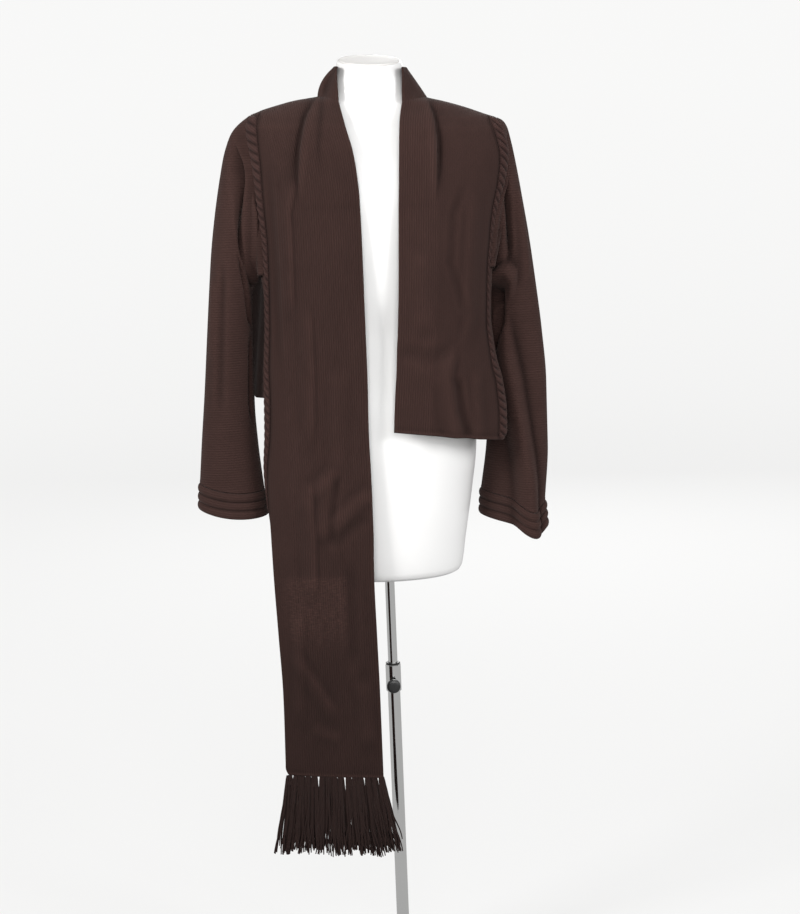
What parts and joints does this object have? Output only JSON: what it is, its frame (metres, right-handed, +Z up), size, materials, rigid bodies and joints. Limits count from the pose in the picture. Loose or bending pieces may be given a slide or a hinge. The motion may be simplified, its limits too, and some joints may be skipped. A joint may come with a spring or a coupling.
{
  "type": "knit bolero on a dress form",
  "caption": "Long-sleeved open knit bolero, one front a long fringed scarf panel and the other cut short, on a smooth limbless dress form with pole and round base.",
  "frame": {"origin": "middle of the underside of the stand's round base plate, on the floor", "axes": "+Z up along the stand's pole; the garment faces -Y; +X is the wearer's left"},
  "size_m": [0.5855, 0.33, 1.5598],
  "materials": {
    "knit": "matt dark-brown fine knit",
    "cable": "matt dark-brown cabled border",
    "form_white": "smooth white satin shell",
    "chrome": "polished",
    "black": "plain black"
  },
  "bodies": {
    "root": {"back": "knit", "front_right": "knit", "front_left": "knit", "collar": "knit", "cable_right": "cable", "cable_left": "cable", "sleeve_right": "knit", "sleeve_left": "knit", "cuff_right": "knit", "cuff_left": "knit", "fringe": "knit", "form_body": "form_white", "neck_cap": "form_white", "base_plate": "chrome", "pole_lower": "chrome", "pole_upper": "chrome", "pole_clamp": "chrome", "pole_ring": "black", "pole_knob": "black"}
  },
  "joints": []
}
